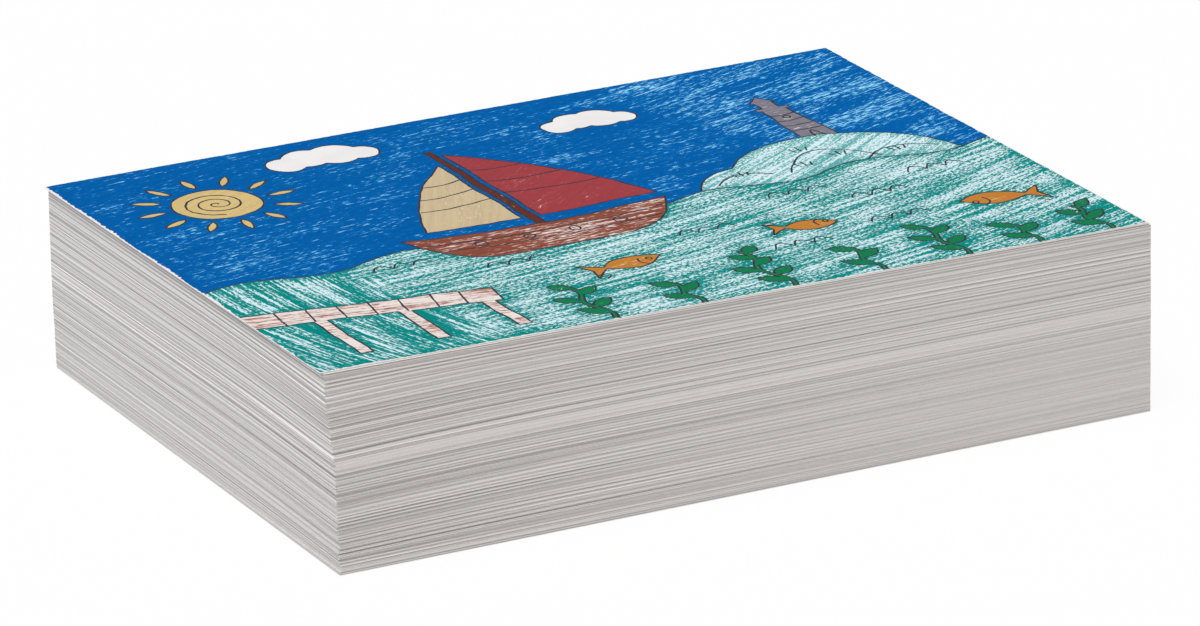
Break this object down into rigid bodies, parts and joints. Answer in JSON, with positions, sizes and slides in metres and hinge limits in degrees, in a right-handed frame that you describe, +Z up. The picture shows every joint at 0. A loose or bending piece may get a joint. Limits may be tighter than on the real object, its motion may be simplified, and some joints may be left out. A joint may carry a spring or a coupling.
{
  "type": "pack of drawing paper",
  "caption": "Thick pack of loose cut drawing paper, stacked square with a slight lean, its top sheet covered by a child's crayon drawing of a sailing boat.",
  "frame": {"origin": "middle of the underside of the pack, on the table", "axes": "+X along the long edge, +Z up, and the drawing is the right way up seen from -Y"},
  "size_m": [0.3021, 0.2154, 0.067],
  "materials": {
    "paper_edges": "cut edges of uncoated paper, matt, with fine dark lines between the sheets",
    "blank_paper": "uncoated white drawing paper, matt, with a fine grain",
    "drawing_paper": "uncoated white drawing paper, matt, with a toothy grain",
    "crayon_blue": "wax crayon rubbed over toothy paper, broken by white flecks, a soft waxy gloss",
    "crayon_cream": "wax crayon rubbed over toothy paper, broken by white flecks, a soft waxy gloss",
    "crayon_grey": "wax crayon rubbed over toothy paper, broken by white flecks, a soft waxy gloss",
    "crayon_pale_teal": "wax crayon rubbed over toothy paper, broken by white flecks, a soft waxy gloss",
    "crayon_teal": "wax crayon rubbed over toothy paper, broken by white flecks, a soft waxy gloss",
    "crayon_dark_brown": "wax crayon rubbed over toothy paper, broken by white flecks, a soft waxy gloss",
    "crayon_red": "wax crayon rubbed over toothy paper, broken by white flecks, a soft waxy gloss",
    "crayon_brown": "wax crayon rubbed over toothy paper, broken by white flecks, a soft waxy gloss",
    "crayon_pink_brown": "wax crayon rubbed over toothy paper, broken by white flecks, a soft waxy gloss",
    "crayon_ochre": "wax crayon rubbed over toothy paper, broken by white flecks, a soft waxy gloss",
    "crayon_green": "wax crayon rubbed over toothy paper, broken by white flecks, a soft waxy gloss"
  },
  "bodies": {
    "root": {"lift_01": "paper_edges", "lift_02": "paper_edges", "lift_03": "paper_edges", "lift_04": "paper_edges", "lift_05": "paper_edges", "lift_06": "paper_edges", "lift_07": "paper_edges", "lift_08": "paper_edges", "lift_09": "paper_edges", "lift_10": "paper_edges", "lift_11": "paper_edges", "lift_12": "paper_edges", "lift_13": "paper_edges", "lift_14": "paper_edges", "lift_15": "paper_edges", "lift_16": "paper_edges", "lift_17": "paper_edges", "lift_18": "paper_edges", "lift_19": "paper_edges", "lift_20": "paper_edges", "lift_21": "paper_edges", "lift_22": "paper_edges", "lift_23": "paper_edges", "lift_24": "paper_edges", "lift_25": "paper_edges", "lift_26": "paper_edges", "lift_27": "paper_edges", "lift_28": "paper_edges", "lift_29": "paper_edges", "lift_30": "paper_edges", "lift_31": "paper_edges", "lift_32": "paper_edges", "lift_33": "paper_edges", "lift_34": "paper_edges", "lift_35": "paper_edges", "loose_sheet_1": "blank_paper", "loose_sheet_2": "blank_paper", "loose_sheet_3": "blank_paper", "loose_sheet_4": "blank_paper", "loose_sheet_5": "blank_paper", "loose_sheet_6": "blank_paper", "loose_sheet_7": "blank_paper", "loose_sheet_8": "blank_paper", "loose_sheet_9": "blank_paper", "drawn_sheet": "drawing_paper", "crayon_sky": "crayon_blue", "crayon_sun": "crayon_cream", "crayon_lighthouse": "crayon_grey", "crayon_island": "crayon_pale_teal", "crayon_sea": "crayon_teal", "crayon_mast": "crayon_dark_brown", "crayon_tan_sail": "crayon_cream", "crayon_red_sail": "crayon_red", "crayon_hull": "crayon_brown", "crayon_jetty": "crayon_pink_brown", "crayon_fish": "crayon_ochre", "crayon_seaweed": "crayon_green"}
  },
  "joints": []
}
